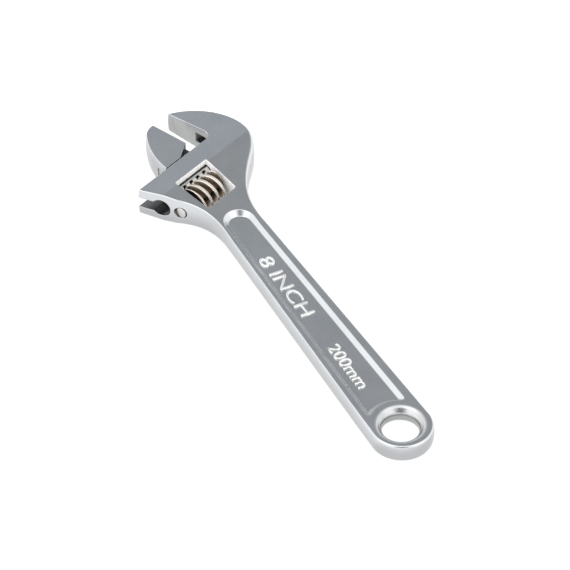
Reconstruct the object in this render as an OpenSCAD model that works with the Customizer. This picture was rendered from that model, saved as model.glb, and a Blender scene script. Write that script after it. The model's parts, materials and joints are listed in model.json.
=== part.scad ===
// Adjustable wrench, 200 mm nominal: a forged body with a fixed jaw, a movable jaw on a round
// rack, and the worm, pin and spring that drive it.
// Origin: centre of the hanging hole, half way through the handle. +X runs along the handle
// towards the jaws, +Y towards the mouth of the channel, +Z out of the upper face.
// The head stands at an angle to the handle. Inside head() the x axis, called s here, points out
// of the jaws, and the y axis, called v here, is the line along which the movable jaw slides open.

/* [Handle] */
// Radius of the rounded handle end
end_r = 11.5; // [10.4:0.1:12]
// Radius of the hanging hole
hole_r = 6.5; // [5:0.1:7]
// Length of the straight wall inside the hanging hole
hole_wall = 2; // [1.6:0.1:4]
// Width of the bevel round the hanging hole
hole_bevel = 2.5; // [1:0.1:3]
// Thickness of the handle
handle_t = 7.1; // [6:0.1:8]
// Half the width of the handle where it meets the head
neck_half = 8.4; // [7.6:0.1:9]
// Depth of the panel sunk into each face of the handle
panel_depth = 1.4; // [0.6:0.1:1.8]
// Width of the rim beside the panel at the hanging hole end
rim_w = 3.7; // [2.6:0.1:4]

/* [Head] */
// Angle between the jaws and the handle
head_angle = 22.5; // [15:0.5:22.5]
// Thickness of the head along its crease, the thickest line
crease_t = 12.6; // [11:0.1:14]
// Thickness of the fixed jaw at its tip
tip_t = 8.6; // [7:0.1:10]
// Distance of the crease from the hanging hole, along s
crease_s = 140.5; // [139:0.1:142]
// Distance of the shoulder that the movable jaw slides over, along s
shoulder_s = 150.2; // [149.8:0.1:151]
// Distance of the jaw tips, along s
tip_s = 172.2; // [170:0.1:173]
// Radius of the throat fillet at the root of the fixed jaw
throat_r = 4; // [2:0.5:4]

/* [Movable jaw] */
// Gap between the two jaw faces as the wrench stands
jaw_gap = 9.8; // [8:0.1:11]
// Thickness of the movable jaw
jaw_t = 10.4; // [9:0.1:11]
// Thickness of the web between the jaw and its rack
web_t = 4; // [3:0.1:4.4]
// Radius of the channel that the rack slides in
channel_r = 3.65; // [3.4:0.05:3.8]
// Running clearance round the rack
rack_gap = 0.2; // [0.05:0.01:0.25]
// Running clearance on each side of the web
web_gap = 0.13; // [0.05:0.01:0.15]

/* [Worm] */
// Pitch of the worm, and of the rack
pitch = 3.7; // [3.6:0.05:3.8]
// Hand of the worm: 1 is right-handed, -1 is left-handed
worm_hand = 1; // [-1, 1]
// Outer radius of the worm
worm_r = 6.5; // [6.2:0.1:6.6]
// Radius at the root of the worm's thread
worm_root_r = 3.85; // [3.6:0.05:3.9]
// Length of the worm
worm_len = 14.2; // [12:0.1:14.4]
// Radius of the pin that the worm turns on
pin_r = 2.2; // [1.8:0.1:2.4]

/* [Hidden] */
$fn = 64;

through = 40;              // longer than any thickness that a cut goes through
end_c = [-0.1, -0.25];     // centre of the rounded handle end, a little off the hanging hole
rise_s = 111;              // where the handle starts to thicken into the head
fixed_face_v = -75.4;      // fixed jaw face
moving_face_v = fixed_face_v + jaw_gap;
channel_s = 141.2;         // axis of the channel and of the rack
channel_end_v = -80;       // blind end of the channel, under the root of the fixed jaw
pin_s = 133.65;            // axis of the worm and its pin
pin_top_v = -37.6;         // outer end of the pin, just inside the flank of the head
pin_end_v = -66;
worm_v = -58.7;            // end of the worm that the spring presses on
mesh_v = -50.9;            // centre of one rack groove, where a thread crest stands
slot_t = web_t + 2 * web_gap;
rack_r = channel_r - rack_gap;
rack_front_v = -68;
rack_tail_v = -41.5;
heel = [[155.1, moving_face_v], [151.3, -58.6]];
nose_r = 26.2;             // outer curve of the fixed jaw
back_c = [144.4, -84.6];   // centre of the outer curve of the movable jaw
back_r = 35.9;
window_corners = [[141.8, -44.3], [123.6, -42.4], [123.6, -58.3], [141.8, -62]];
flank_corner = [shoulder_s, -32.8];
spring_wire_r = 0.32;
spring_r = pin_r + 0.12 + spring_wire_r;
spring_seat_r = spring_r + spring_wire_r + 0.15;
spring_seat = 6.2;         // depth of the spring's seat in the worm
spring_end_v = -59.8;

// A point of the head's own frame, given in the frame of the part
function head_point(s, v) = [
    s * cos(head_angle) - v * sin(head_angle),
    s * sin(head_angle) + v * cos(head_angle)
];

// Points of a cubic curve between p[0] and p[3], with the last one left out
function curve(p, n) = [
    for (i = [0 : n - 1])
        let (t = i / n, u = 1 - t)
            u * u * u * p[0] + 3 * u * u * t * p[1] + 3 * u * t * t * p[2] + t * t * t * p[3]
];

// Points of an arc about c from angle a to angle b
function arc(c, r, a, b, n) = [
    for (i = [0 : n]) let (w = a + (b - a) * i / n) c + r * [cos(w), sin(w)]
];

// Rings of points joined into one closed polyhedron
module skin(rings) {
    n = len(rings[0]);
    last = len(rings) - 1;
    sides = [
        for (i = [0 : last - 1], j = [0 : n - 1])
            let (k = (j + 1) % n)
                each [[i * n + j, (i + 1) * n + j, (i + 1) * n + k],
                      [i * n + j, (i + 1) * n + k, i * n + k]]
    ];
    ends = [[for (j = [0 : n - 1]) j], [for (j = [n - 1 : -1 : 0]) last * n + j]];
    polyhedron([for (ring = rings) each ring], concat(sides, ends), convexity = 10);
}

// Turns the head's own frame, in which s is x and v is y, into the frame of the part
module head() {
    rotate([0, 0, head_angle]) children();
}

// Stands its children along the sliding line: their z axis becomes v, from the point s, v
module along_v(s, v) {
    translate([s, v, 0]) rotate([-90, 0, 0]) children();
}

// Outline of the body seen from above
module body_outline() {
    nose_c = head_point(150.5, -62.4);
    throat = [shoulder_s + throat_r, fixed_face_v + throat_r];
    neck = [116, neck_half - 0.1];
    cheek_end = [158.5, -25.7];
    knee = -55;
    knee_p = nose_c + nose_r * [cos(knee), sin(knee)];
    right_neck = curve([[115, -8.6], [128, -7.7], [134, -9.8], [142, -15]], 8);
    right_cheek = curve([[142, -15], [149.5, -20], [152.5, -23.6], cheek_end], 8);
    chin = curve([cheek_end, [164, -27.9], [171.5, -26.1], knee_p], 8);
    nose = arc(nose_c, nose_r, knee, -10, 10);
    throat_arc = [
        for (p = arc(throat, throat_r, -90, -180, 6)) head_point(p[0], p[1])
    ];
    left_neck = curve([[138.8, 17.5], [134, 11.8], [127, 7.9], neck], 10);
    polygon(concat(
        [end_c - [0, end_r]], right_neck, right_cheek, chin, nose,
        [head_point(tip_s, fixed_face_v)], throat_arc,
        [head_point(flank_corner[0], flank_corner[1]),
         head_point(flank_corner[0] - 0.6, flank_corner[1] + 0.5)],
        left_neck, [neck, end_c + [0, end_r]]
    ));
    translate(end_c) circle(r = end_r);
}

// Side view of the body along v: the handle, the rise to the crease, and the taper to the tips
module body_profile() {
    half = [
        [-30, handle_t / 2], [rise_s, handle_t / 2],
        [crease_s, crease_t / 2], [tip_s + 4, tip_t / 2 - 0.25]
    ];
    rotate([90, 0, 0])
        linear_extrude(height = 10 * through, center = true)
            polygon(concat(half, [for (i = [len(half) - 1 : -1 : 0]) [half[i][0], -half[i][1]]]));
}

// Outline of the panel sunk into the handle
module panel_outline() {
    top = [119.3, 0.4];
    top_r = 5.6;
    difference() {
        union() {
            polygon([
                [4, -(end_r - rim_w)], [top[0], top[1] - top_r],
                [top[0], top[1] + top_r], [4, end_r - rim_w + 0.3]
            ]);
            translate(top) circle(r = top_r);
        }
        translate(end_c) circle(r = end_r);
    }
}

// Window through the head, where a thumb turns the worm
module window() {
    linear_extrude(height = through, center = true) {
        polygon(window_corners);
    }
}

// Channel for the rack, and the slot above it for the web
module channel() {
    cutter = [147.5, -69.5];
    cutter_r = 12.7;
    along_v(channel_s, channel_end_v) cylinder(r = channel_r, h = 2 * through);
    linear_extrude(height = slot_t, center = true) {
        translate([channel_s, cutter[1]]) square([20, 60]);
        intersection() {
            translate(cutter) circle(r = cutter_r);
            translate([channel_s, cutter[1] - 20]) square(30);
        }
    }
}

// Hole for the pin, from the flank of the head past the window
module pin_hole() {
    along_v(pin_s, pin_end_v) cylinder(r = pin_r, h = 2 * through);
}

// Hanging hole with a bevel at each face
module hanging_hole() {
    top = handle_t / 2 + 0.5;
    cylinder(r = hole_r, h = through, center = true);
    for (side = [0, 1])
        mirror([0, 0, side])
            rotate_extrude()
                polygon([[0, hole_wall / 2], [hole_r, hole_wall / 2],
                         [hole_r + hole_bevel, handle_t / 2], [hole_r + hole_bevel, top], [0, top]]);
}

// Handle and fixed jaw, one forging
module forged_body() {
    color("silver")
        difference() {
            intersection() {
                linear_extrude(height = through, center = true) body_outline();
                head() body_profile();
            }
            hanging_hole();
            for (side = [-1, 1])
                translate([0, 0, side * (handle_t / 2 - panel_depth + through / 2)])
                    linear_extrude(height = through, center = true) panel_outline();
            head() {
                window();
                channel();
                pin_hole();
            }
        }
}

// Outline of the part of the movable jaw that stands over the shoulder
module jaw_outline() {
    polygon(concat(
        heel,
        [[shoulder_s + 0.7, -58]],
        arc(back_c, back_r, 79.4, 43.6, 16),
        [[tip_s - 0.2, moving_face_v + 2.2], [tip_s - 0.2, moving_face_v]]
    ));
}

// Grooves across the rack, tilted to the worm's lead
module rack_grooves() {
    mouth_half = 1.41;
    root_half = 0.75;
    root_s = pin_s + worm_r + 0.2;
    mouth_s = pin_s + worm_root_r - 0.6;
    lead = atan(pitch / (2 * PI * (worm_r + worm_root_r) / 2));
    for (i = [-4 : 2])
        translate([0, mesh_v + i * pitch, 0])
            rotate([worm_hand * lead, 0, 0])
                linear_extrude(height = 3 * channel_r, center = true)
                    polygon([[mouth_s, -mouth_half], [root_s, -root_half],
                             [root_s, root_half], [mouth_s, mouth_half]]);
}

// Movable jaw: the jaw itself, the web under it and the round rack
module movable_jaw() {
    color("lightgray")
        head()
            difference() {
                union() {
                    linear_extrude(height = jaw_t, center = true) jaw_outline();
                    linear_extrude(height = web_t, center = true)
                        polygon([[155.1, moving_face_v], [152.5, -64.8], [channel_s, -64.8],
                                 [channel_s, -45], [144.5, -45], [152, -50.2], [156, -55]]);
                    along_v(channel_s, rack_front_v)
                        cylinder(r = rack_r, h = rack_tail_v - rack_front_v);
                }
                rack_grooves();
            }
}

// Thread of the worm: a trapezium swept along a helix, a little longer than the worm at each end
module thread() {
    steps = 32;
    crest_half = 0.62;
    root_half = 1.3;
    inner_r = worm_root_r - 0.2;
    first = floor((worm_v - mesh_v) / pitch * steps) - steps / 2;
    last = ceil((worm_v + worm_len - mesh_v) / pitch * steps) + steps / 2;
    skin([
        for (i = [first : last])
            let (w = worm_hand * 360 * i / steps, z = mesh_v + pitch * i / steps)
                [for (q = [[inner_r, -root_half], [inner_r, root_half],
                           [worm_r, crest_half], [worm_r, -crest_half]])
                    [q[0] * cos(w), q[0] * sin(w), z + q[1]]]
    ]);
}

// Worm, which a thumb turns and which drives the rack
module worm() {
    color("dimgray")
        head()
            along_v(pin_s, 0)
                difference() {
                    union() {
                        translate([0, 0, worm_v]) cylinder(r = worm_root_r, h = worm_len);
                        intersection() {
                            thread();
                            translate([0, 0, worm_v]) cylinder(r = worm_r + 1, h = worm_len);
                        }
                    }
                    translate([0, 0, worm_v - 1]) cylinder(r = pin_r + 0.06, h = worm_len + 2);
                    translate([0, 0, worm_v - 1]) cylinder(r = spring_seat_r, h = spring_seat + 1);
                }
}

// Pin that the worm turns on, pressed into the head
module worm_pin() {
    color("gray")
        head() along_v(pin_s, pin_end_v) cylinder(r = pin_r, h = pin_top_v - pin_end_v);
}

// Spring on the pin that takes up the play of the worm
module worm_spring() {
    steps = 24;
    turns = 5;
    from = spring_end_v + spring_wire_r;
    rise = (worm_v + spring_seat - 0.1 - spring_wire_r - from) / (turns * steps);
    color("darkgray")
        head()
            along_v(pin_s, 0)
                skin([
                    for (i = [0 : turns * steps])
                        let (w = 360 * i / steps)
                            [for (j = [0 : 7])
                                let (r = spring_r + spring_wire_r * cos(45 * j))
                                    [r * cos(w), r * sin(w),
                                     from + rise * i - spring_wire_r * sin(45 * j)]]
                ]);
}

forged_body();
movable_jaw();
worm();
worm_pin();
worm_spring();
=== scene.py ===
"""Each metal piece is a solid, described by distances in millimetres: positive outside it, negative
inside. A surface net turns it into a mesh, the mesh's points are pulled exactly onto the surface,
and the normals come from the solid itself. The lettering is font geometry, and the spring is a
swept wire.
"""

import json
import logging
import math
from dataclasses import dataclass
from enum import IntEnum
from typing import Any, Callable, Iterable, Sequence, Union

import bpy
import numpy as np
from mathutils import Matrix, Vector


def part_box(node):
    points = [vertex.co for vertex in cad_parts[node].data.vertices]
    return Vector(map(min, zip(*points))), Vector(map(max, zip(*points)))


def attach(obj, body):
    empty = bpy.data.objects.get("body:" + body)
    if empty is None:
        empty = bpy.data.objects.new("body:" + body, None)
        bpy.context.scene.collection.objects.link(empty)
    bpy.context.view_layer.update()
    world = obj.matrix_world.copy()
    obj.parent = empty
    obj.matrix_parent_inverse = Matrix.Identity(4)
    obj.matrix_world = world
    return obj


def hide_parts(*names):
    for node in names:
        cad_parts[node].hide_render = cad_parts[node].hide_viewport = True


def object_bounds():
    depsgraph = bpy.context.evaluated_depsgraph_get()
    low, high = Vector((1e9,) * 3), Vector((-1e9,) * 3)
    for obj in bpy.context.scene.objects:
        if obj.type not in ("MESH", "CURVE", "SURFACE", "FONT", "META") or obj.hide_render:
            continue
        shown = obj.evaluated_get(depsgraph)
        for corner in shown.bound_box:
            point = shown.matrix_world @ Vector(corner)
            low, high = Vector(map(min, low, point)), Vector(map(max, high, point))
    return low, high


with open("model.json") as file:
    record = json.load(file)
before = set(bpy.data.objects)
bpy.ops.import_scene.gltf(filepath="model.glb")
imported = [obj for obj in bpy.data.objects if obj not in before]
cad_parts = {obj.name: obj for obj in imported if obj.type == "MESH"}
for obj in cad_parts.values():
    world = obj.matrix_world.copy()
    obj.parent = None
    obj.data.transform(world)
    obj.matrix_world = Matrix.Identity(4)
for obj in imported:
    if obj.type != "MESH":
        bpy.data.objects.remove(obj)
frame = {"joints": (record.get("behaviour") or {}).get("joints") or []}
CAD_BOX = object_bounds()

LOG = logging.getLogger("wrench")
MM = 0.001

# A face whose middle lies this near a surface counts as part of it, in millimetres.
NEAR = 0.06

Array = np.ndarray
Solid = Callable[[Array, Array, Array], Array]
Radius = Union[float, Array]
Point = tuple[float, float]
Curve = tuple[Point, ...]
Colour = tuple[float, float, float]


# ----------------------------------------
# Distances
# ----------------------------------------


def both(a: Array, b: Array, radius: Radius = 0.0) -> Array:
    """Metal that is in a and in b, with the edge between them rounded off.

    Args:
        a: Distances of the first solid.
        b: Distances of the second solid.
        radius: Radius of the rounded edge.

    Returns:
        Distances of the common solid.
    """
    return np.minimum(np.maximum(a, b), -radius) + np.hypot(
        np.maximum(a + radius, 0.0), np.maximum(b + radius, 0.0)
    )


def either(a: Array, b: Array, radius: Radius = 0.0) -> Array:
    """Metal that is in a or in b, with a fillet of that radius in the corner between them."""
    return -both(-a, -b, radius)


def cut(solid: Array, tool: Array, radius: Radius = 0.0) -> Array:
    """Metal that is left of a solid once the tool has cut it, with its new edges rounded."""
    return both(solid, -tool, radius)


def ramp(value: Array, start: float, end: float) -> Array:
    """Rises smoothly from 0 at start to 1 at end."""
    t = np.clip((value - start) / (end - start), 0.0, 1.0)
    return t * t * (3.0 - 2.0 * t)


def half_plane(s: Array, v: Array, a: Point, b: Point) -> Array:
    """Distance to the line from a to b, negative on the line's left."""
    length = math.hypot(b[0] - a[0], b[1] - a[1])
    return ((s - a[0]) * (b[1] - a[1]) - (v - a[1]) * (b[0] - a[0])) / length


@dataclass(frozen=True)
class HeadFrame:
    """The frame of the head, in which s points out of the jaws and v is the sliding line."""

    angle: float

    def read(self, x: Array, y: Array) -> tuple[Array, Array]:
        """The head's own coordinates s and v of points of the part."""
        c, w = math.cos(self.angle), math.sin(self.angle)
        return x * c + y * w, y * c - x * w

    def place(self, s: float, v: float) -> Point:
        """The part's x and y of a point of the head."""
        c, w = math.cos(self.angle), math.sin(self.angle)
        return s * c - v * w, s * w + v * c


def head_frame() -> HeadFrame:
    """The head's frame, read from the sliding joint of the record."""
    slide = next(j for j in frame["joints"] if j["type"] == "slide")
    return HeadFrame(math.atan2(-slide["axis"][0], slide["axis"][1]))


HEAD = head_frame()


def bezier(p: Sequence[Point], count: int = 24) -> list[Point]:
    """Points along a cubic curve, without its last point."""
    out = []
    for i in range(count):
        t = i / count
        u = 1.0 - t
        weights = (u**3, 3 * u * u * t, 3 * u * t * t, t**3)
        out.append(tuple(sum(w * q[k] for w, q in zip(weights, p)) for k in (0, 1)))
    return out


def arc(centre: Point, radius: float, start: float, end: float, count: int) -> list[Point]:
    """Points along an arc between two angles in degrees."""
    angles = np.radians(np.linspace(start, end, count + 1))
    return [(centre[0] + radius * math.cos(w), centre[1] + radius * math.sin(w)) for w in angles]


class Outline:
    """A closed outline, kept as a grid of signed distances that is read with smooth curves.

    Args:
        points: Corners of the outline, in order.
        step: Spacing of the grid.
        margin: How far the grid reaches past the outline.
    """

    def __init__(self, points: Sequence[Point], step: float = 0.25, margin: float = 16.0) -> None:
        corners = np.array(points, float)
        self.step = step
        self.low = corners.min(0) - margin
        counts = np.ceil((corners.max(0) + margin - self.low) / step).astype(int) + 1
        x = self.low[0] + step * np.arange(counts[0])[:, None]
        y = self.low[1] + step * np.arange(counts[1])[None, :]
        nearest = np.full((counts[0], counts[1]), 1e9)
        inside = np.zeros(nearest.shape, bool)
        for (ax, ay), (bx, by) in zip(corners, np.roll(corners, -1, 0)):
            dx, dy = bx - ax, by - ay
            t = np.clip(((x - ax) * dx + (y - ay) * dy) / (dx * dx + dy * dy), 0.0, 1.0)
            nearest = np.minimum(nearest, (x - ax - t * dx) ** 2 + (y - ay - t * dy) ** 2)
            if dy:
                crosses = (y >= min(ay, by)) & (y < max(ay, by))
                inside ^= crosses & (x < ax + (y - ay) * dx / dy)
        self.table = np.sqrt(nearest) * np.where(inside, -1.0, 1.0)

    @staticmethod
    def _weights(t: Array) -> tuple[Array, ...]:
        """Catmull-Rom weights of the four grid lines round a point."""
        return (
            ((-0.5 * t + 1.0) * t - 0.5) * t,
            (1.5 * t - 2.5) * t * t + 1.0,
            ((-1.5 * t + 2.0) * t + 0.5) * t,
            (0.5 * t - 0.5) * t * t,
        )

    def distance(self, x: Array, y: Array) -> Array:
        """Signed distance to the outline, negative inside."""
        x, y = np.broadcast_arrays(x, y)
        gx = np.clip((x - self.low[0]) / self.step, 1.0, self.table.shape[0] - 3.0)
        gy = np.clip((y - self.low[1]) / self.step, 1.0, self.table.shape[1] - 3.0)
        ix, iy = gx.astype(int), gy.astype(int)
        wx, wy = self._weights(gx - ix), self._weights(gy - iy)
        flat = self.table.ravel()
        base = (ix - 1) * self.table.shape[1] + iy - 1
        total = np.zeros(x.shape)
        for i in range(4):
            row = base + i * self.table.shape[1]
            total += wx[i] * sum(wy[j] * flat[row + j] for j in range(4))
        return total


# ----------------------------------------
# Meshes
# ----------------------------------------


def linked(name: str, data: Any) -> bpy.types.Object:
    """A new object that holds this data, linked to the scene."""
    made = bpy.data.objects.new(name, data)
    bpy.context.scene.collection.objects.link(made)
    return made


def grid_faces(rows: int, columns: int, closed: bool) -> list[tuple[int, ...]]:
    """Quads over points that lie in rows.

    Args:
        rows: Number of rows.
        columns: Number of points in a row.
        closed: Whether the last point of a row is joined to its first.

    Returns:
        The quads, as four indices each.
    """
    starts = range(columns if closed else columns - 1)
    return [
        (i * columns + j, (i + 1) * columns + j, (i + 1) * columns + k, i * columns + k)
        for i in range(rows - 1)
        for j, k in ((j, (j + 1) % columns) for j in starts)
    ]


@dataclass(frozen=True)
class Block:
    """The box that a solid is meshed in: lowest and highest corner, and spacing, in millimetres."""

    low: tuple[float, float, float]
    high: tuple[float, float, float]
    step: float

    def axes(self, coarse: float) -> list[Array]:
        """Grid lines along each axis, with the spacing multiplied by coarse."""
        step = self.step * coarse
        return [
            low + (high - low) * np.linspace(0.0, 1.0, max(4, int(round((high - low) / step)) + 1))
            for low, high in zip(self.low, self.high)
        ]


class SurfaceNet:
    """Turns a solid into a mesh of quads with one point in each grid cell that the surface crosses.

    Args:
        solid: Distances of the solid.
        axes: Grid lines along x, y and z.
    """

    def __init__(self, solid: Solid, axes: Sequence[Array]) -> None:
        self.axes = axes
        x, y, z = axes
        shape = (len(x), len(y), len(z))
        values = solid(x[:, None, None], y[None, :, None], z[None, None, :])
        self.values = np.broadcast_to(values, shape).astype(np.float32)

    def _cells(self) -> Array:
        """Indices of the cells that the surface crosses."""
        inside = self.values < 0
        count = np.zeros([n - 1 for n in inside.shape], np.int8)
        for i in (0, 1):
            for j in (0, 1):
                for k in (0, 1):
                    count += inside[
                        i : i + count.shape[0], j : j + count.shape[1], k : k + count.shape[2]
                    ]
        return np.argwhere((count > 0) & (count < 8))

    def _points(self, cells: Array) -> Array:
        """One point in each cell: the middle of the places where its edges cross the surface."""
        total = np.zeros((len(cells), 3))
        count = np.zeros(len(cells))
        for axis in range(3):
            others = [a for a in range(3) if a != axis]
            for i in (0, 1):
                for j in (0, 1):
                    start = cells.copy()
                    start[:, others[0]] += i
                    start[:, others[1]] += j
                    end = start.copy()
                    end[:, axis] += 1
                    a = self.values[tuple(start.T)].astype(float)
                    b = self.values[tuple(end.T)].astype(float)
                    crossed = (a < 0) != (b < 0)
                    t = np.where(crossed, a / np.where(crossed, a - b, 1.0), 0.0)
                    place = np.stack([self.axes[n][start[:, n]] for n in range(3)], 1)
                    place[:, axis] += t * (self.axes[axis][end[:, axis]] - place[:, axis])
                    total += place * crossed[:, None]
                    count += crossed
        return total / count[:, None]

    def build(self) -> tuple[Array, Array]:
        """The mesh.

        Returns:
            The points, and the quads as rows of four indices, wound so that they face out.
        """
        cells = self._cells()
        numbers = np.full([n - 1 for n in self.values.shape], -1, np.int32)
        numbers[tuple(cells.T)] = np.arange(len(cells))
        inside = self.values < 0
        quads = []
        for axis in range(3):
            u, w = (axis + 1) % 3, (axis + 2) % 3
            near = [slice(None)] * 3
            far = [slice(None)] * 3
            near[axis], far[axis] = slice(0, -1), slice(1, None)
            change = inside[tuple(near)] != inside[tuple(far)]
            edges = np.argwhere(change)
            limit = np.array(numbers.shape)
            keep = np.ones(len(edges), bool)
            for other in (u, w):
                keep &= (edges[:, other] > 0) & (edges[:, other] < limit[other])
            edges = edges[keep]
            ring = []
            for du, dw in ((0, 0), (1, 0), (1, 1), (0, 1)):
                cell = edges.copy()
                cell[:, u] -= du
                cell[:, w] -= dw
                ring.append(numbers[tuple(cell.T)])
            faces = np.stack(ring, 1)
            outward = inside[tuple(edges.T)]
            quads.append(np.where(outward[:, None], faces, faces[:, ::-1]))
        return self._points(cells), np.concatenate(quads)


class Maker:
    """Makes mesh objects out of solids, and keeps what every piece shares."""

    EPS = 0.02
    NUDGE = 0.12

    def __init__(self) -> None:
        self.coarse = 1.0

    @classmethod
    def _slope(cls, solid: Solid, p: Array) -> Array:
        """Direction in which the distance grows at each point, with its true length."""
        out = np.empty_like(p)
        for axis in range(3):
            ahead, behind = p.copy(), p.copy()
            ahead[:, axis] += cls.EPS
            behind[:, axis] -= cls.EPS
            out[:, axis] = (solid(*ahead.T) - solid(*behind.T)) / (2 * cls.EPS)
        return out

    @classmethod
    def _settle(cls, solid: Solid, p: Array, reach: float, rounds: int = 2) -> Array:
        """Points moved onto the surface of the solid, each by no more than reach in a round."""
        for _ in range(rounds):
            slope = cls._slope(solid, p)
            move = solid(*p.T)[:, None] * slope / np.maximum((slope**2).sum(1), 0.05)[:, None]
            length = np.linalg.norm(move, axis=1, keepdims=True)
            p = p - move * np.minimum(1.0, reach / np.maximum(length, 1e-9))
        return p

    @staticmethod
    def _mesh(name: str, points: Array, faces: Array) -> bpy.types.Mesh:
        """A mesh of faces that all have the same number of corners."""
        mesh = bpy.data.meshes.new(name)
        mesh.vertices.add(len(points))
        mesh.vertices.foreach_set("co", points.astype(np.float32).ravel())
        mesh.loops.add(faces.size)
        mesh.loops.foreach_set("vertex_index", faces.astype(np.int32).ravel())
        mesh.polygons.add(len(faces))
        mesh.polygons.foreach_set(
            "loop_start", np.arange(0, faces.size, faces.shape[1], dtype=np.int32)
        )
        mesh.update(calc_edges=True)
        mesh.validate()
        return mesh

    @staticmethod
    def _thin(obj: bpy.types.Object, share: float) -> None:
        """Leaves that share of the object's faces, few on its flats and most on its curves."""
        modifier = obj.modifiers.new("thin", "DECIMATE")
        modifier.ratio = share
        graph = bpy.context.evaluated_depsgraph_get()
        thinned = bpy.data.meshes.new_from_object(obj.evaluated_get(graph))
        obj.modifiers.clear()
        old = obj.data
        obj.data = thinned
        bpy.data.meshes.remove(old)

    def _shade(self, solid: Solid, mesh: bpy.types.Mesh) -> None:
        """Gives each corner of each face the solid's own normal, read just inside that face."""
        loops = len(mesh.loops)
        corner = np.empty(loops, np.int32)
        mesh.loops.foreach_get("vertex_index", corner)
        co = np.empty(len(mesh.vertices) * 3, np.float32)
        mesh.vertices.foreach_get("co", co)
        place = co.reshape(-1, 3)[corner].astype(float) / MM
        starts = np.empty(len(mesh.polygons), np.int32)
        totals = np.empty(len(mesh.polygons), np.int32)
        mesh.polygons.foreach_get("loop_start", starts)
        mesh.polygons.foreach_get("loop_total", totals)
        middle = np.add.reduceat(place, starts, axis=0) / totals[:, None]
        toward = np.repeat(middle, totals, axis=0) - place
        length = np.linalg.norm(toward, axis=1, keepdims=True)
        place += toward * np.minimum(0.3, self.NUDGE / np.maximum(length, 1e-9))
        normal = self._slope(solid, place)
        normal /= np.maximum(np.linalg.norm(normal, axis=1, keepdims=True), 1e-9)
        mesh.polygons.foreach_set("use_smooth", np.ones(len(mesh.polygons), bool))
        mesh.normals_split_custom_set(normal.tolist())

    def piece(self, name: str, solid: Solid, block: Block, share: float) -> bpy.types.Object:
        """Makes one object out of a solid.

        Args:
            name: Name of the piece.
            solid: Distances of the solid, in millimetres.
            block: Where the solid lies, and how finely it is meshed.
            share: Share of the faces that thinning leaves.

        Returns:
            The object, in metres, linked to the scene.
        """
        points, quads = SurfaceNet(solid, block.axes(self.coarse)).build()
        mesh = self._mesh(name, points * MM, quads)
        obj = linked(name, mesh)
        self._thin(obj, min(1.0, share * self.coarse))
        mesh = obj.data
        mesh.name = name
        co = np.empty(len(mesh.vertices) * 3, np.float32)
        mesh.vertices.foreach_get("co", co)
        settled = self._settle(
            solid, co.reshape(-1, 3).astype(float) / MM, block.step * self.coarse * 0.6
        )
        mesh.vertices.foreach_set("co", (settled * MM).astype(np.float32).ravel())
        mesh.update()
        self._shade(solid, mesh)
        LOG.info("%s: %d points, %d faces", name, len(mesh.vertices), len(mesh.polygons))
        return obj


# ----------------------------------------
# Materials
# ----------------------------------------


class Signal:
    """A shader socket that takes part in Python arithmetic.

    Args:
        bench: The bench whose nodes the arithmetic adds.
        socket: The socket that holds the value.
    """

    def __init__(self, bench: "Bench", socket: bpy.types.NodeSocket) -> None:
        self.bench = bench
        self.socket = socket

    def _math(self, operation: str, *values: Any) -> "Signal":
        """A Math node on these values."""
        return self.bench.node("ShaderNodeMath", {"operation": operation}, dict(enumerate(values)))

    def __add__(self, other: Any) -> "Signal":
        """Adds a value."""
        return self._math("ADD", self, other)

    __radd__ = __add__

    def __sub__(self, other: Any) -> "Signal":
        """Takes a value away."""
        return self._math("SUBTRACT", self, other)

    def __rsub__(self, other: Any) -> "Signal":
        """Takes this away from a value."""
        return self._math("SUBTRACT", other, self)

    def __mul__(self, other: Any) -> "Signal":
        """Multiplies by a value."""
        return self._math("MULTIPLY", self, other)

    __rmul__ = __mul__

    def clamp(self) -> "Signal":
        """The value held between 0 and 1."""
        return self._math("MINIMUM", self._math("MAXIMUM", self, 0.0), 1.0)


class Bench:
    """Builds the node tree of one material or world.

    Args:
        tree: The tree to build, which is emptied first.
    """

    def __init__(self, tree: bpy.types.NodeTree) -> None:
        self.tree = tree
        tree.nodes.clear()

    def node(
        self,
        kind: str,
        settings: dict[str, Any] | None = None,
        inputs: dict[Any, Any] | None = None,
        output: Any = 0,
    ) -> Signal:
        """Adds a node.

        Args:
            kind: Type of the node.
            settings: Its properties, which are set before its inputs.
            inputs: Values, or signals to link, by the name or number of the input.
            output: Name or number of the output that is wanted.

        Returns:
            The signal of that output.
        """
        made = self.tree.nodes.new(kind)
        for key, value in (settings or {}).items():
            setattr(made, key, value)
        for key, value in (inputs or {}).items():
            if isinstance(value, Signal):
                self.tree.links.new(value.socket, made.inputs[key])
            else:
                made.inputs[key].default_value = value
        if not made.outputs:
            return Signal(self, None)
        return Signal(self, made.outputs[output])

    def mix(self, factor: Any, a: Any, b: Any) -> Signal:
        """A colour between a and b."""
        return self.node("ShaderNodeMix", {"data_type": "RGBA"}, {0: factor, 6: a, 7: b}, 2)

    def smooth(self, value: Any, start: float, end: float) -> Signal:
        """Rises smoothly from 0 where the value is start to 1 where it is end."""
        return self.node(
            "ShaderNodeMapRange",
            {"interpolation_type": "SMOOTHSTEP"},
            {"Value": value, "From Min": start, "From Max": end},
        )

    def surface(self, inputs: dict[str, Any]) -> None:
        """Ends a material with a shader that has these inputs."""
        shader = self.node("ShaderNodeBsdfPrincipled", {}, inputs)
        self.node("ShaderNodeOutputMaterial", {}, {"Surface": shader})

    def noise(
        self, scale: float, detail: float = 2.0, stretch: Colour = (1.0, 1.0, 1.0)
    ) -> Signal:
        """Noise that is fixed to the piece, at a scale in cycles per metre."""
        place = self.node("ShaderNodeTexCoord", output="Object")
        place = self.node("ShaderNodeMapping", {}, {"Vector": place, "Scale": stretch})
        return self.node(
            "ShaderNodeTexNoise", {}, {"Vector": place, "Scale": scale, "Detail": detail}
        )


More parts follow.
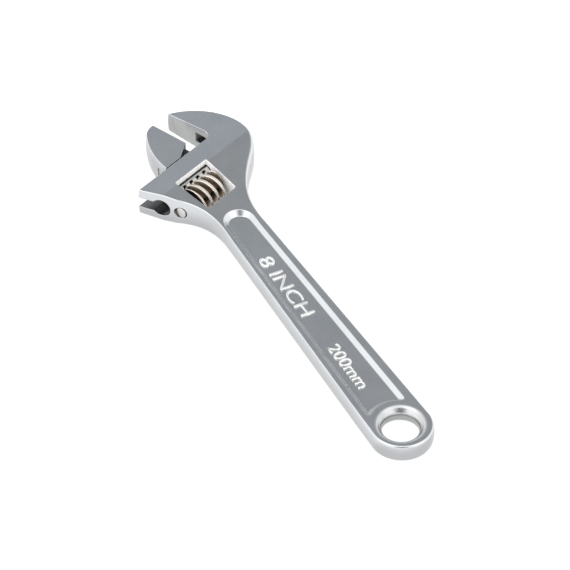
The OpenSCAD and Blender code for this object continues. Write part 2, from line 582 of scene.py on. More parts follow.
def rgba(colour: Colour) -> tuple[float, float, float, float]:
    """A colour with full alpha."""
    return (*colour, 1.0)


def grey(level: float) -> tuple[float, float, float, float]:
    """A grey with full alpha."""
    return rgba((level, level, level))


@dataclass(frozen=True)
class MetalFinish:
    """A plated or turned metal, with cloudy tone, fine grain and faint marks.

    Args:
        name: Name of the material.
        colour: Colour of the reflection.
        shade: Colour where the metal looks duller.
        roughness: Mean roughness.
        spread: How far the roughness varies.
        grain: Spacing of the grain in millimetres.
        relief: Height of the grain in micrometres.
        brush: Stretch of the grain along x, y and z, 1 where it isn't stretched.
        metallic: How much of the surface is bare metal.
        groove: Colour that the grooves of a thread darken to, or None.
        root: Radius at which the darkening is strongest, in millimetres from the worm's axis.
        crest: Radius at which there is none left.
        patchy: How far the clouds move the darkening in or out, in millimetres.
        cloud_scale: Size of the clouds, in cycles per metre.
        contrast: How hard the tone changes between colour and shade.
    """

    name: str
    colour: Colour
    shade: Colour
    roughness: float
    spread: float
    grain: float
    relief: float
    brush: Colour = (1.0, 1.0, 1.0)
    metallic: float = 1.0
    groove: Colour | None = None
    root: float = 0.0
    crest: float = 1.0
    patchy: float = 0.8
    cloud_scale: float = 90.0
    contrast: float = 2.6

    def darkened_in_thread(self, bench: Bench, colour: Signal, clouds: Signal) -> Signal:
        """The colour, darkened where the surface lies deep in the worm's thread.

        Args:
            bench: The bench of the material.
            colour: The colour before the darkening.
            clouds: The cloudy noise of the finish.

        Returns:
            The colour, darkened in the thread's grooves.
        """
        kind = "ShaderNodeVectorMath"
        spin = next(j for j in frame["joints"] if j["type"] == "hinge")
        place = bench.node("ShaderNodeTexCoord", output="Object")
        arm = bench.node(kind, {"operation": "SUBTRACT"}, {0: place, 1: spin["pos_m"]})
        across = bench.node(kind, {"operation": "CROSS_PRODUCT"}, {0: arm, 1: spin["axis"]})
        radius = bench.node(kind, {"operation": "LENGTH"}, {0: across}, "Value") * (1 / MM)
        # Height above the thread's root, moved in or out by the clouds; the colour darkens toward
        # the root.
        bare = radius - self.root + (clouds - 0.5) * self.patchy
        share = (bare * (1 / (self.crest - self.root))).clamp()
        return bench.mix(share, rgba(self.groove), colour)

    def material(self) -> bpy.types.Material:
        """The material, made once."""
        made = bpy.data.materials.get(self.name)
        if made:
            return made
        made = bpy.data.materials.new(self.name)
        made.use_nodes = True
        bench = Bench(made.node_tree)
        clouds = bench.noise(self.cloud_scale, 3.0)
        fine = bench.noise(1 / (self.grain * MM), 2.0, self.brush)
        tone = (clouds * 0.7 + fine * 0.3 - 0.32) * self.contrast
        rough = self.roughness + (clouds - 0.5) * self.spread + (fine - 0.5) * self.spread * 0.6
        relief = {"Strength": 1.0, "Distance": self.relief * 1e-6, "Height": fine}
        bump = bench.node("ShaderNodeBump", {}, relief)
        colour = bench.mix(tone.clamp(), rgba(self.shade), rgba(self.colour))
        if self.groove:
            colour = self.darkened_in_thread(bench, colour, clouds)
        bench.surface(
            {"Base Color": colour, "Metallic": self.metallic, "Roughness": rough, "Normal": bump}
        )
        return made


PLATED = MetalFinish(
    "satin_plate", (0.469, 0.480, 0.492), (0.424, 0.436, 0.448), 0.28, 0.06, 0.35, 3.0
)
GROUND = MetalFinish(
    "ground_plate", (0.48, 0.484, 0.488), (0.36, 0.364, 0.368), 0.22, 0.08, 0.5, 2.0, (1, 1, 0.12)
)
# Painted light: a near-white, almost non-metallic colour on the window walls that face the light,
# standing in for the light they catch. The rough grain is the milled wall's own.
WINDOW_PAINTED_LIGHT = MetalFinish(
    "window_wall_painted_light", (0.98, 0.975, 0.965), (0.88, 0.875, 0.865), 0.45, 0.15, 0.3, 12.0, metallic=0.05
)
RACK = MetalFinish(
    "milled_rack", (0.72, 0.715, 0.70), (0.55, 0.545, 0.53), 0.30, 0.12, 0.3, 6.0
)
# Painted shade: a dark colour in the bores of the channel, slot and pin, and on the window walls
# that face away from the light.
BORE_PAINTED_SHADE = MetalFinish("bore_wall_painted_shade", (0.32, 0.32, 0.32), (0.17, 0.17, 0.17), 0.34, 0.12, 0.3, 6.0)
# Painted shade: a near-black colour on the jaw's heel, on its sole over the shoulder, on its web,
# in the rack's grooves and on the band of rack beside the channel wall.
JAW_PAINTED_SHADE = MetalFinish("jaw_painted_shade", (0.10, 0.103, 0.106), (0.05, 0.052, 0.054), 0.42, 0.1, 0.4, 4.0)
# The worm's colour darkens toward the root of its thread.
NICKEL = MetalFinish(
    "nickel_worm", (0.70, 0.66, 0.61), (0.50, 0.46, 0.41), 0.22, 0.10, 0.4, 4.0,
    groove=(0.20, 0.155, 0.12), root=4.1, crest=6.5,
)
TURNED = MetalFinish(
    "turned_pin", (0.55, 0.54, 0.52), (0.42, 0.41, 0.39), 0.22, 0.10, 0.25, 3.0
)
# Painted highlight: a near-white colour on the raised lettering, standing in for the light that its
# edges catch.
LETTER_PAINTED_HIGHLIGHT = MetalFinish(
    "lettering_painted_highlight", (0.90, 0.90, 0.89), (0.74, 0.74, 0.73), 0.35, 0.10, 0.3, 6.0, metallic=0.8
)
COARSE = MetalFinish(
    "coarse_bevel", (0.45, 0.455, 0.46), (0.33, 0.335, 0.34), 0.30, 0.10, 0.6, 16.0
)
WIRE = MetalFinish("spring_wire", (0.27, 0.27, 0.28), (0.17, 0.17, 0.18), 0.28, 0.1, 0.3, 3.0)


# ----------------------------------------
# Pieces
# ----------------------------------------


class BodySurface(IntEnum):
    """Surfaces of the forging that have a finish of their own, by material number."""

    FORGED = 0
    THROAT = 1
    # painted light on the window walls that face the light
    WINDOW = 2
    # painted shade in the bores and on the window walls that face away from the light
    BORE = 3
    BEVEL = 4


class JawSurface(IntEnum):
    """Surfaces of the jaw that have a finish of their own, by material number."""

    FORGED = 0
    GRIP = 1
    RACK = 2
    # painted shade on the heel, sole, web, rack grooves and the rack band by the channel wall
    BARE = 3


@dataclass
class Piece:
    """What every piece of the wrench has: its CAD node, its body and its material slot."""

    maker: Maker
    node: str
    body: str
    slot: str

    def block(self, step: float, margin: float) -> Block:
        """The block round the piece's CAD node, with a margin in millimetres."""
        low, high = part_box(self.node)
        return Block(
            tuple(c / MM - margin for c in low), tuple(c / MM + margin for c in high), step
        )

    def finish(
        self, obj: bpy.types.Object, finishes: Iterable[MetalFinish], replaces: bool = True
    ) -> bpy.types.Object:
        """Dresses an object, and lets it ride on its body.

        Args:
            obj: The object.
            finishes: Its finishes, in the order of their material numbers.
            replaces: Whether it stands in for its CAD node.

        Returns:
            The same object.
        """
        obj.data.materials.clear()
        for finish in finishes:
            obj.data.materials.append(finish.material())
        if replaces:
            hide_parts(self.node)
        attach(obj, self.body)
        return obj

    @staticmethod
    def paint(obj: bpy.types.Object, chosen: Callable[[Array, Array, Array], Array]) -> None:
        """Gives each face the material whose number is chosen for the face's middle."""
        mesh = obj.data
        middles = np.empty(len(mesh.polygons) * 3, np.float32)
        mesh.polygons.foreach_get("center", middles)
        number = chosen(*(middles.reshape(-1, 3).astype(float) / MM).T)
        mesh.polygons.foreach_set("material_index", number.astype(np.int32))


@dataclass
class Head:
    """Sizes that the pieces in the head share, in the head's own frame."""

    shoulder_s: float = 150.2
    tip_s: float = 172.2
    fixed_face_v: float = -75.4
    moving_face_v: float = -65.6
    channel_s: float = 141.2
    channel_r: float = 3.65
    channel_end_v: float = -80.0
    pin_s: float = 133.65
    pin_r: float = 2.2
    pin_end_v: float = -66.0
    pin_top_v: float = -37.6
    pitch: float = 3.7
    mesh_v: float = -50.9
    hand: int = 1
    worm_r: float = 6.5
    worm_root_r: float = 3.85
    worm_v: float = -58.7
    worm_len: float = 14.2


@dataclass
class ForgedBody(Piece):
    """Handle and fixed jaw, with every hole and cut in them."""

    head: Head = None
    end_r: float = 11.5
    end_c: Point = (-0.1, -0.25)
    neck: Point = (116.0, 8.3)
    right_neck: Curve = ((115.0, -8.6), (128.0, -7.7), (134.0, -9.8), (142.0, -15.0))
    right_cheek: Curve = ((142.0, -15.0), (149.5, -20.0), (152.5, -23.6), (158.5, -25.7))
    chin: Curve = ((158.5, -25.7), (164.0, -27.9), (171.5, -26.1))
    left_neck: Curve = ((138.8, 17.5), (134.0, 11.8), (127.0, 7.9))
    nose: Point = (150.5, -62.4)
    nose_r: float = 26.2
    nose_arc: tuple[float, float] = (-55.0, 12.0)
    nose_end: Point = (178.0, -60.0)
    corner_v: float = -32.45
    corner_beyond: Point = (4.0, 3.4)
    handle_half: float = 3.55
    crease_half: float = 6.3
    crease_s: float = 140.5
    crease_blend: float = 0.9
    rise: float = 0.0925
    taper: float = 0.063
    bulge: float = 0.35
    hole_r: float = 6.5
    hole_bevel: float = 2.2
    bevel_edge: float = 0.7
    panel_depth: float = 1.4
    panel_wall: float = 1.5
    panel_end: Point = (119.3, 0.4)
    panel_end_r: float = 5.9
    panel_spread: float = 0.0185
    panel_corner_r: float = 1.8
    window_corners: Curve = ((141.8, -44.3), (123.6, -42.4), (123.6, -58.3), (141.8, -62.0))
    window_radii: tuple[float, float, float] = (1.4, 1.0, 0.4)
    throat_r: float = 4.0
    slot_half: float = 2.13
    slot_cutter: Point = (147.5, -69.5)
    slot_cutter_r: float = 12.7
    pin_gap: float = 0.03
    pin_mouth_gap: float = 0.22
    pin_mouth_v: float = -38.8
    # window walls beyond these lines are painted light, and the rest are painted shade
    painted_light_wall_s: float = 141.4
    painted_light_wall_v: float = -57.6
    head_x: float = 110.0

    def __post_init__(self) -> None:
        """Works out the outline of the forging before the jaws are cut."""
        nose = HEAD.place(*self.nose)
        knee = math.radians(self.nose_arc[0])
        knee_p = (nose[0] + self.nose_r * math.cos(knee), nose[1] + self.nose_r * math.sin(knee))
        corner = HEAD.place(self.head.shoulder_s, self.corner_v)
        beyond = (corner[0] + self.corner_beyond[0], corner[1] + self.corner_beyond[1])
        self.outline = Outline(
            [(self.end_c[0], self.end_c[1] - self.end_r)]
            + bezier(self.right_neck)
            + bezier(self.right_cheek)
            + bezier((*self.chin, knee_p))
            + arc(nose, self.nose_r, *self.nose_arc, 40)
            + [HEAD.place(*self.nose_end), beyond]
            + bezier((*self.left_neck, self.neck))
            + [self.neck, (self.end_c[0], self.end_c[1] + self.end_r)]
            + arc(self.end_c, self.end_r, 90, 270, 72)[1:-1]
        )

    def half_height(self, s: Array) -> Array:
        """Half the thickness: flat handle, a rise to the crease, and a taper to the tips."""
        roof = np.minimum(
            self.crease_half - self.rise * (self.crease_s - s),
            self.crease_half - self.taper * (s - self.crease_s),
        )
        gap = np.maximum(self.crease_blend - np.abs(roof - self.handle_half), 0.0)
        return np.maximum(roof, self.handle_half) + gap * gap / (4 * self.crease_blend)

    @staticmethod
    def edge_radius(x: Array, y: Array) -> Array:
        """Radius of the edges: crisp on the mouth's side, and softest on the right cheek."""
        cheek = ramp(x, 132, 150) * (1 - ramp(x, 156, 174))
        right = 0.85 + 0.7 * cheek - 0.4 * ramp(x, 160, 178)
        left = 0.45 + 0.35 * (1 - ramp(x, -8, 20))
        return left + (right - left) * ramp(-y, -3.0, 3.0)

    def panel(self, x: Array, y: Array, z: Array) -> Array:
        """The panel sunk into both faces of the handle: its walls stand at about 45 degrees."""
        ex, ey = self.panel_end
        side = np.abs(y - ey) - (self.panel_end_r + self.panel_spread * (ex - x))
        rounded = np.hypot(x - ex, y - ey) - self.panel_end_r
        edge = np.where(x < ex, side, rounded)
        end = self.end_r - np.hypot(x - self.end_c[0], y - self.end_c[1])
        edge = both(edge, end, self.panel_corner_r)
        lean = self.panel_wall / self.panel_depth
        wall = (edge + (self.handle_half - np.abs(z)) * lean) / math.hypot(1.0, lean)
        floor = (self.handle_half - self.panel_depth) - np.abs(z)
        return both(wall, floor, 0.22)

    def window(self, s: Array, v: Array) -> Array:
        """The window for the worm, with its two lower corners rounded more."""
        left, low, right, top = self.window_corners
        shape = half_plane(s, v, left, low)
        sides = ((low, right), (right, top), (top, left))
        for (start, end), radius in zip(sides, self.window_radii):
            shape = both(shape, half_plane(s, v, start, end), radius)
        return shape

    def channel(self, s: Array, v: Array, z: Array) -> Array:
        """The round channel of the rack, which ends blind under the root of the fixed jaw."""
        head = self.head
        return np.maximum(
            np.hypot(s - head.channel_s, z) - head.channel_r, head.channel_end_v - v
        )

    def slot_cut(self, s: Array, v: Array, z: Array) -> Array:
        """The slot for the web, with the round end that its cutter leaves."""
        cs, cv = self.slot_cutter
        run = np.minimum(cv - v, np.hypot(s - cs, v - cv) - self.slot_cutter_r)
        return np.maximum(np.maximum(np.abs(z) - self.slot_half, self.head.channel_s - s), run)

    def pin_hole(self, s: Array, v: Array, z: Array) -> Array:
        """The hole of the pin, a little wider at its mouth."""
        head = self.head
        across = np.hypot(s - head.pin_s, z) - head.pin_r
        hole = np.maximum(across - self.pin_gap, head.pin_end_v - 0.1 - v)
        mouth = np.maximum(across - self.pin_mouth_gap, self.pin_mouth_v - v)
        return np.minimum(hole, mouth)

    def throat(self, s: Array, v: Array) -> Array:
        """What stays outside the throat: the metal below the shoulder or behind the fixed face."""
        head = self.head
        return either(s - head.shoulder_s, v - head.fixed_face_v, self.throat_r)

    def solid(self, x: Array, y: Array, z: Array) -> Array:
        """Distances of the whole forging."""
        s, v = HEAD.read(x, y)
        half = self.half_height(s)
        side = self.outline.distance(x, y) + self.bulge * (z / half) ** 2
        metal = both(side, np.abs(z) - half, self.edge_radius(x, y))
        metal = cut(metal, self.panel(x, y, z), 0.16)
        bore = self.hole_r - np.hypot(x, y)
        metal = both(metal, bore, 0.25)
        bevel = (bore + np.abs(z) - half + self.hole_bevel) / math.sqrt(2)
        metal = both(metal, bevel, self.bevel_edge)
        metal = both(metal, self.throat(s, v), 0.28)
        for tool, edge in (
            (self.window(s, v), 0.22),
            (self.channel(s, v, z), 0.2),
            (self.slot_cut(s, v, z), 0.15),
            (self.pin_hole(s, v, z), 0.12),
        ):
            metal = cut(metal, tool, edge)
        return metal

    def surface_kind(self, x: Array, y: Array, z: Array) -> Array:
        """Which surface each place on the forging belongs to, as a number of BodySurface."""
        s, v = HEAD.read(x, y)
        cuts = (self.channel(s, v, z), self.slot_cut(s, v, z), self.pin_hole(s, v, z))
        bores = np.min(np.abs(cuts), axis=0)
        kind = np.where(np.abs(self.throat(s, v)) < NEAR, BodySurface.THROAT, BodySurface.FORGED)
        # Painted light on the window walls beyond these lines, and painted shade on the others.
        painted_lit = (s > self.painted_light_wall_s) | (v < self.painted_light_wall_v)
        wall = np.where(painted_lit, BodySurface.WINDOW, BodySurface.BORE)
        kind = np.where(np.abs(self.window(s, v)) < NEAR, wall, kind)
        # Painted shade in the bores of the channel, the slot and the pin.
        kind = np.where(bores < NEAR, BodySurface.BORE, kind)
        kind = np.where(x > self.head_x, kind, BodySurface.FORGED)
        bevel = np.hypot(x, y) < self.hole_r + self.hole_bevel
        bevel &= np.abs(z) < self.handle_half - 0.1
        return np.where(bevel, BodySurface.BEVEL, kind)

    def build(self) -> None:
        """Makes the forging."""
        block = Block((-13.0, -28.6, -7.0), (190.0, 29.0, 7.0), 0.26)
        finishes = {
            BodySurface.FORGED: PLATED,
            BodySurface.THROAT: GROUND,
            BodySurface.WINDOW: WINDOW_PAINTED_LIGHT,
            BodySurface.BORE: BORE_PAINTED_SHADE,
            BodySurface.BEVEL: COARSE,
        }
        body = self.maker.piece("forged_handle_and_jaw", self.solid, block, 0.30)
        self.finish(body, [finishes[kind] for kind in BodySurface])
        self.paint(body, self.surface_kind)


@dataclass
class MovableJaw(Piece):
    """The sliding jaw, its web and its round rack."""

    head: Head = None
    half: float = 5.2
    lift: float = 0.75
    back: Point = (144.4, -84.6)
    back_r: float = 36.25
    back_bulge: float = 0.45
    tip_r: float = 1.9
    heel_low: Point = (151.3, -58.6)
    heel_s: float = 155.1
    web_half: float = 2.0
    web_top_s: float = 156.0
    web_rear: tuple[Point, Point] = ((154.0, -51.6), (144.5, -45.0))
    rack_r: float = 3.45
    rack_front_v: float = -68.0
    rack_tail_v: float = -41.5
    groove_half: float = 0.75
    groove_lean: float = 0.235
    groove_gap: float = 0.2
    # beyond this line the rack is painted shade, beside the channel wall
    painted_shade_rack_s: float = 141.0

    def heel(self, s: Array, v: Array) -> Array:
        """Distance to the slanted foot of the jaw's face."""
        return half_plane(s, v, self.heel_low, (self.heel_s, self.head.moving_face_v))

    def beak(self, s: Array, v: Array, z: Array) -> Array:
        """The part of the jaw that stands over the shoulder."""
        head = self.head
        back = np.hypot(s - self.back[0], v - self.back[1]) - self.back_r
        back = back + self.back_bulge * (z / self.half) ** 2
        outline = both(back, s - head.tip_s + 0.2, self.tip_r)
        outline = both(outline, head.moving_face_v - v, 0.25)
        outline = both(outline, head.shoulder_s + self.lift - s, 0.2)
        outline = both(outline, self.heel(s, v), 0.12)
        return both(outline, np.abs(z) - self.half, 0.25)

    def web(self, s: Array, v: Array, z: Array) -> Array:
        """The thin web between the jaw and the rack."""
        front = self.head.moving_face_v + 0.1 - v
        rear = half_plane(s, v, *self.web_rear)
        ends = np.maximum(
            np.maximum(front, rear), np.maximum(s - self.web_top_s, self.head.channel_s - s)
        )
        return both(ends, np.abs(z) - self.web_half, 0.15)

    def rack(self, s: Array, v: Array, z: Array) -> Array:
        """The round rack before its grooves are cut."""
        ends = np.maximum(self.rack_front_v - v, v - self.rack_tail_v)
        return both(np.hypot(s - self.head.channel_s, z) - self.rack_r, ends, 0.4)

    def grooves(self, s: Array, v: Array, z: Array) -> Array:
        """The grooves of the rack, one for each turn of the worm and tilted to its lead."""
        head = self.head
        lead = head.pitch / (math.pi * (head.worm_r + head.worm_root_r))
        along = v - head.mesh_v + head.hand * lead * z
        off = np.abs(along - head.pitch * np.round(along / head.pitch))
        root_s = head.pin_s + head.worm_r + self.groove_gap
        width = self.groove_half + (root_s - s) * self.groove_lean
        return both(off - width, s - root_s, 0.2)

    def surface_kind(self, x: Array, y: Array, z: Array) -> Array:
        """Which surface each place on the jaw belongs to, as a number of JawSurface."""
        head = self.head
        s, v = HEAD.read(x, y)
        # Painted shade on the heel, on the sole over the shoulder and on the web.
        heel = (np.abs(self.heel(s, v)) < 0.1) & (v < -57.0)
        sole = np.abs(s - head.shoulder_s - self.lift) < NEAR
        web = (np.abs(z) < self.web_half + 0.1) & (s < self.web_top_s) & (v < -50.0)
        grip = np.abs(v - head.moving_face_v) < 0.05
        kind = np.where(grip, JawSurface.GRIP, JawSurface.FORGED)
        kind = np.where(heel | sole | web, JawSurface.BARE, kind)
        # Painted shade in the rack's grooves and on its band beside the channel wall.
        groove = np.abs(self.grooves(s, v, z)) < 0.1
        rack = np.where(groove | (s > self.painted_shade_rack_s), JawSurface.BARE, JawSurface.RACK)
        return np.where(s < head.channel_s + self.rack_r, rack, kind)

    def solid(self, x: Array, y: Array, z: Array) -> Array:
        """Distances of the whole jaw."""
        s, v = HEAD.read(x, y)
        rack = cut(self.rack(s, v, z), self.grooves(s, v, z), 0.12)
        metal = either(self.web(s, v, z), self.beak(s, v, z), 0.3)
        return either(metal, rack, 0.2)

    def build(self) -> None:
        """Makes the jaw."""
        finishes = {
            JawSurface.FORGED: PLATED,
            JawSurface.GRIP: GROUND,
            JawSurface.RACK: RACK,
            JawSurface.BARE: JAW_PAINTED_SHADE,
        }
        jaw = self.maker.piece("sliding_jaw_and_rack", self.solid, self.block(0.22, 1.0), 0.35)
        self.finish(jaw, [finishes[kind] for kind in JawSurface])
        self.paint(jaw, self.surface_kind)


@dataclass
class Worm(Piece):
    """The worm that a thumb turns, with fine notches on its crest."""

    head: Head = None
    crest_half: float = 0.62
    root_half: float = 1.3
    notches: int = 56
    notch_depth: float = 0.16
    bore_r: float = 2.26
    seat_r: float = 3.11
    seat_depth: float = 6.2

    def solid(self, x: Array, y: Array, z: Array) -> Array:
        """Distances of the worm."""
        head = self.head
        s, v = HEAD.read(x, y)
        q = s - head.pin_s
        out = np.hypot(q, z)
        turn = np.arctan2(-z, q)
        along = v - head.mesh_v - head.hand * head.pitch * turn / (2 * math.pi)
        off = np.abs(along - head.pitch * np.round(along / head.pitch))
        lean = (self.root_half - self.crest_half) / (head.worm_r - head.worm_root_r)
        flank = (off - self.crest_half - (head.worm_r - out) * lean) / math.hypot(1.0, lean)
        notch = self.notch_depth * (0.5 + 0.5 * np.cos(self.notches * turn)) ** 2
        thread = both(out - head.worm_r + notch, flank, 0.3)
        metal = either(thread, out - head.worm_root_r, 0.45)
        middle = head.worm_v + head.worm_len / 2
        metal = both(metal, np.abs(v - middle) - head.worm_len / 2, 0.25)
        metal = cut(metal, out - self.bore_r, 0.2)
        seat = np.maximum(out - self.seat_r, v - head.worm_v - self.seat_depth)
        return cut(metal, seat, 0.15)

    def build(self) -> None:
        """Makes the worm."""
        self.finish(
            self.maker.piece("thumb_worm", self.solid, self.block(0.13, 0.5), 0.4), [NICKEL]
        )


@dataclass
class WormPin(Piece):
    """The pin that the worm turns on."""

    head: Head = None
    dome: float = 0.12

    def solid(self, x: Array, y: Array, z: Array) -> Array:
        """Distances of the pin: a cylinder with a chamfer and a slightly domed end."""
        head = self.head
        s, v = HEAD.read(x, y)
        out = np.hypot(s - head.pin_s, z)
        end = v - head.pin_top_v + self.dome * (out / head.pin_r) ** 2
        return both(both(out - head.pin_r, end, 0.25), head.pin_end_v - v, 0.3)

    def build(self) -> None:
        """Makes the pin."""
        self.finish(
            self.maker.piece("turned_worm_pin", self.solid, self.block(0.16, 0.5), 0.4), [TURNED]
        )


@dataclass
class WormSpring(Piece):
    """The spring on the pin, swept along its helix."""

    head: Head = None
    wire_r: float = 0.31
    coil_r: float = 2.64
    low_v: float = -59.8
    seat_depth: float = 6.2
    turns: int = 5
    steps: int = 40
    sides: int = 14

    def build(self) -> None:
        """Makes the spring as a closed tube."""
        head = self.head
        start = self.low_v + self.wire_r + 0.02
        end = head.worm_v + self.seat_depth - 0.12 - self.wire_r
        turn = np.linspace(0.0, 1.0, self.turns * self.steps + 1)
        angle = turn * self.turns * 2 * math.pi
        rise = start + (end - start) * turn
        around = np.linspace(0, 2 * math.pi, self.sides, endpoint=False)
        radius = self.coil_r + self.wire_r * np.cos(around)[None, :]
        s = head.pin_s + radius * np.cos(angle)[:, None]
        z = -radius * np.sin(angle)[:, None]
        v = rise[:, None] - self.wire_r * np.sin(around)[None, :]
        points = np.stack([*HEAD.place(s, v), z], 2).reshape(-1, 3) * MM
        rings, sides = len(turn), self.sides
        faces = grid_faces(rings, sides, True)
        faces.append(tuple(range(sides)))
        faces.append(tuple(range((rings - 1) * sides, rings * sides))[::-1])
        mesh = bpy.data.meshes.new("worm_spring_wire")
        mesh.from_pydata(points.tolist(), [], faces)
        mesh.update()
        for polygon in mesh.polygons:
            polygon.use_smooth = len(polygon.vertices) == 4
        self.finish(linked("worm_spring_wire", mesh), [WIRE])


@dataclass
class Lettering(Piece):
    """Raised size marks on the panel, read with the jaws to the left."""

    height: float = 0.6
    sunk: float = 0.25
    floor: float = 2.15
    offset: float = -0.022
    spacing: float = 0.98
    extrude: float = 0.02
    bevel: float = 0.024

    def mark(self, name: str, text: str, start: float, end: float, low: float, high: float) -> None:
        """Raises one line of text.

        Args:
            name: Name of the piece.
            text: What it says.
            start: Where the line starts, along x.
            end: Where it ends, nearer the hanging hole.
            low: Where the tops of the letters lie, along y.
            high: Where their feet stand, along y.
        """
        font = bpy.data.curves.new(name, "FONT")
        font.body = text
        font.size = 1.0
        font.offset = self.offset
        font.space_character = self.spacing
        font.extrude = self.extrude
        font.bevel_depth = self.bevel
        font.bevel_resolution = 1
        font.resolution_u = 6
        carrier = linked(name + "_curve", font)
        graph = bpy.context.evaluated_depsgraph_get()
        mesh = bpy.data.meshes.new_from_object(carrier.evaluated_get(graph))
        bpy.data.objects.remove(carrier)
        co = np.empty(len(mesh.vertices) * 3, np.float32)
        mesh.vertices.foreach_get("co", co)
        p = co.reshape(-1, 3)
        u = (p - p.min(0)) / (p.max(0) - p.min(0))
        x = start + (end - start) * u[:, 0]
        y = high + (low - high) * u[:, 1]
        z = self.floor - self.sunk + (self.height + self.sunk) * u[:, 2]
        mesh.vertices.foreach_set("co", (np.stack([x, y, z], 1) * MM).astype(np.float32).ravel())
        mesh.update()
        # The lettering's near-white colour is a painted highlight.
        self.finish(linked(name, mesh), [LETTER_PAINTED_HIGHLIGHT], replaces=False)

    def build(self) -> None:
        """Raises both marks."""
        self.mark("raised_mark_inches", "8 INCH", 98.5, 64.0, -1.4, 4.2)
        self.mark("raised_mark_millimetres", "200mm", 46.0, 22.5, -0.8, 4.0)


# ----------------------------------------
# Studio
# ----------------------------------------


@dataclass(frozen=True)
class Viewpoint:
    """Where the camera stands, in the part's frame.

    Args:
        azimuth: Direction that the camera looks along, in degrees; 0 looks along +Y.
        elevation: Height of the camera above the horizon, in degrees.
        distance: How far in front of the camera the hanging hole lies, in metres.
        right: How far right of the picture's centre the hanging hole lies, in metres.
        down: How far below the picture's centre it lies, in metres.
        focal: Focal length for a sensor as wide as the picture, in picture widths.
    """

    azimuth: float = 241.816
    elevation: float = 43.077
    distance: float = 0.90121
    right: float = 0.03999
    down: float = 0.05050
    focal: float = 4.5651

    def axes(self) -> tuple[Vector, Vector, Vector]:
        """The camera's forward, right and up directions."""
        a, e = math.radians(self.azimuth), math.radians(self.elevation)
        forward = Vector((-math.sin(a) * math.cos(e), math.cos(a) * math.cos(e), -math.sin(e)))
        right = forward.cross(Vector((0, 0, 1))).normalized()
        return forward, right, right.cross(forward)

    def camera(self) -> None:
        """Makes the camera."""
        forward, right, up = self.axes()
        data = bpy.data.cameras.new("camera")
        data.sensor_fit = "HORIZONTAL"
        data.sensor_width = 36.0
        data.lens = data.sensor_width * self.focal
        data.clip_end = 20.0
        camera = linked("camera", data)
        place = -self.distance * forward - self.right * right + self.down * up
        turn = Matrix((right, up, -forward)).transposed().to_4x4()
        camera.matrix_world = Matrix.Translation(place) @ turn
        bpy.context.scene.camera = camera


@dataclass(frozen=True)
class Cloth:
    """A cloth that hangs in the tent and gives one direction its own brightness.

    Args:
        toward: Direction of its middle, from the wrench.
        full: Angle from the middle within which it is at full strength, in degrees.
        edge: Angle at which it ends.
        colour: What it sends back.
    """

    toward: Colour
    full: float
    edge: float
    colour: Colour

    def hang(self, bench: Bench, direction: Signal, light: Any) -> Signal:
        """Adds the cloth to the light of the tent.

        Args:
            bench: The bench of the world.
            direction: The direction that is looked along.
            light: The light of the tent so far.

        Returns:
            The light with the cloth in it.
        """
        middle = tuple(Vector(self.toward).normalized())
        facing = bench.node(
            "ShaderNodeVectorMath", {"operation": "DOT_PRODUCT"}, {0: direction, 1: middle}, "Value"
        )
        start, end = math.cos(math.radians(self.edge)), math.cos(math.radians(self.full))
        return bench.mix(bench.smooth(facing, start, end), light, rgba(self.colour))


@dataclass(frozen=True)
class Lamp:
    """A square soft lamp that faces the wrench.

    Args:
        name: Name of the lamp.
        turn: How far round from the camera it hangs, in degrees.
        elevation: Height of its direction, in degrees.
        power: Power in watts.
        size: Width of the lamp, in metres.
        away: Distance from the wrench, in metres.
    """

    name: str
    turn: float
    elevation: float
    power: float
    size: float = 1.2
    away: float = 1.6

    def hang(self, azimuth: float) -> None:
        """Hangs the lamp, for a camera that looks along that azimuth."""
        a, e = math.radians(azimuth + 180 + self.turn), math.radians(self.elevation)
        away = Vector((-math.sin(a) * math.cos(e), math.cos(a) * math.cos(e), math.sin(e)))
        data = bpy.data.lights.new(self.name, "AREA")
        data.shape = "SQUARE"
        data.size = self.size
        data.energy = self.power
        lamp = linked(self.name, data)
        lamp.location = Vector((0.09, 0.0, 0.0)) + away * self.away
        lamp.rotation_euler = away.to_track_quat("Z", "Y").to_euler()


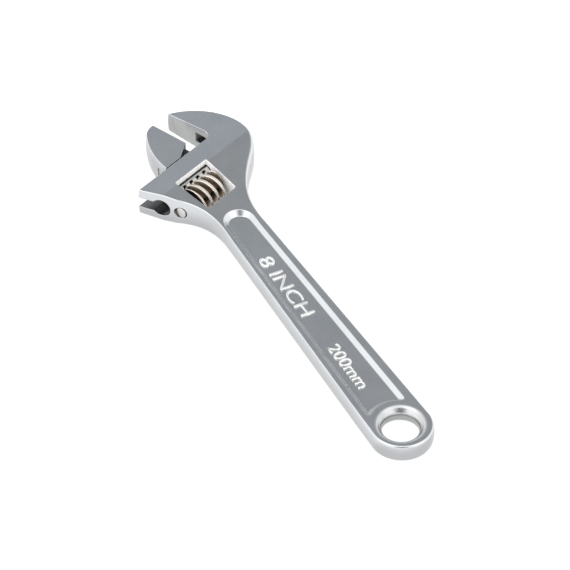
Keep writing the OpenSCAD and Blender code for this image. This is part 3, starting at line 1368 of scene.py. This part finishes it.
@dataclass
class Studio:
    """Glowing table with painted shadow near the wrench, soft lamps and the white tent round them.

    Args:
        view: Where the camera stands.
        outline: The forging's outline.
        dim: Distances from the wrench, in millimetres, over which the painted shadow on the table
            fades.
        glow: Strength of the table's glow at those distances.
        white: Light of the tent.
        cloths: What hangs in the tent.
        lamps: The soft lamps.
        table: How far the table reaches, in millimetres.
        patch: The part of the table that is finely divided: along x, along y and its step.
    """

    view: Viewpoint
    outline: Outline
    dim: tuple[float, float] = (0.5, 13.0)
    glow: tuple[float, float] = (0.95, 1.5)
    white: tuple[float, float, float, float] = (1.95, 1.95, 1.94, 1.0)
    cloths: tuple[Cloth, ...] = (
        Cloth((0.55, -0.38, 0.70), 24.0, 46.0, (0.56, 0.58, 0.60)),
        Cloth((0.76, -0.29, 0.58), 2.0, 16.0, (0.62, 0.67, 0.72)),
        Cloth((0.45, -0.41, 0.80), 4.0, 16.0, (0.48, 0.487, 0.493)),
        Cloth((-0.644, 0.345, 0.683), 12.8, 25.8, (0.05, 0.05, 0.05)),
    )
    lamps: tuple[Lamp, ...] = (Lamp("key", -50, 62, 4), Lamp("fill", 60, 50, 2.6))
    table: float = 3000.0
    patch: tuple[Point, Point, float] = ((-60.0, 250.0), (-90.0, 90.0), 2.0)

    def reach(self, x: Array, y: Array) -> Array:
        """How far a place on the table lies from the wrench, for the painted shadow on the table.

        Args:
            x: Places along x, in millimetres.
            y: Places along y.

        Returns:
            Distances in millimetres, less where the painted shadow spreads further: at the handle's
            end and beside the right cheek.
        """
        s, v = HEAD.read(x, y)
        beak = np.hypot(
            np.maximum(np.abs(s - 161.2) - 11.0, 0), np.maximum(np.abs(v + 57.0) - 8.6, 0)
        )
        # Painted shadow: it spreads further at the handle's end and beside the right cheek.
        end = 8.0 * (1 - ramp(x, -9.0, 8.0))
        cheek = 6.0 * ramp(x, 132.0, 150.0) * ramp(-y, 5.0, 15.0)
        return np.minimum(self.outline.distance(x, y), beak) - (end + cheek)

    def floor(self) -> None:
        """Lays a glowing table under the wrench, with a painted shadow that dims it close to the
        wrench.
        """
        (x0, x1), (y0, y1), step = self.patch
        xs = np.array([-self.table, *np.arange(x0, x1, step), self.table])
        ys = np.array([-self.table, *np.arange(y0, y1 + step, step), self.table])
        x, y = (a.ravel() for a in np.meshgrid(xs, ys, indexing="ij"))
        reach = self.reach(np.clip(x, x0, x1), np.clip(y, y0, y1))
        points = np.stack([x * MM, y * MM, np.full_like(x, CAD_BOX[0][2] - 0.0002)], 1)
        mesh = bpy.data.meshes.new("floor")
        mesh.from_pydata(points.tolist(), [], grid_faces(len(xs), len(ys), False))
        mesh.attributes.new("reach", "FLOAT", "POINT").data.foreach_set(
            "value", reach.astype(np.float32)
        )
        floor_paint = bpy.data.materials.new("floor_glow_painted_shadow")
        floor_paint.use_nodes = True
        bench = Bench(floor_paint.node_tree)
        away = bench.node("ShaderNodeAttribute", {"attribute_name": "reach"}, {}, "Fac")
        # Painted shadow: the glow drops to glow[0] within dim of the wrench, so the wrench's
        # reflections of it darken.
        near = self.glow[0] / self.glow[1]
        bench.surface(
            {
                "Base Color": bench.mix(bench.noise(4.0), grey(0.09), grey(0.10)),
                "Roughness": 0.9,
                "Specular IOR Level": 0.1,
                "Emission Color": bench.mix(bench.smooth(away, *self.dim), grey(near), grey(1.0)),
                "Emission Strength": self.glow[1],
            }
        )
        mesh.materials.append(floor_paint)
        linked("floor", mesh)

    def tent(self) -> None:
        """Lights the tent: white all round, with grey and dark cloths in some directions."""
        world = bpy.data.worlds.new("tent")
        bpy.context.scene.world = world
        world.use_nodes = True
        bench = Bench(world.node_tree)
        direction = bench.node("ShaderNodeTexCoord", output="Generated")
        light = self.white
        for cloth in self.cloths:
            light = cloth.hang(bench, direction, light)
        shader = bench.node("ShaderNodeBackground", {}, {"Color": light, "Strength": 1.0})
        bench.node("ShaderNodeOutputWorld", {}, {"Surface": shader})

    def build(self) -> None:
        """Sets up the whole studio."""
        self.view.camera()
        self.floor()
        self.tent()
        for lamp in self.lamps:
            lamp.hang(self.view.azimuth)
        bpy.context.scene.view_settings.view_transform = "Standard"


# ----------------------------------------
# The wrench
# ----------------------------------------


def main() -> None:
    """Builds every piece and the studio."""
    logging.basicConfig(level=logging.INFO, format="%(message)s")
    maker, head = Maker(), Head()
    forging = ForgedBody(maker, "forged_body", "body", "plated_body", head)
    pieces = [
        forging,
        MovableJaw(maker, "movable_jaw", "jaw", "plated_jaw", head),
        Worm(maker, "worm", "worm", "worm_steel", head),
        WormPin(maker, "worm_pin", "body", "pin_steel", head),
        WormSpring(maker, "worm_spring", "body", "spring_steel", head),
        Lettering(maker, "forged_body", "body", "plated_body"),
    ]
    for piece in pieces:
        piece.build()
        LOG.info("built %s", type(piece).__name__)
    Studio(Viewpoint(), forging.outline).build()


if __name__ == "__main__":
    main()
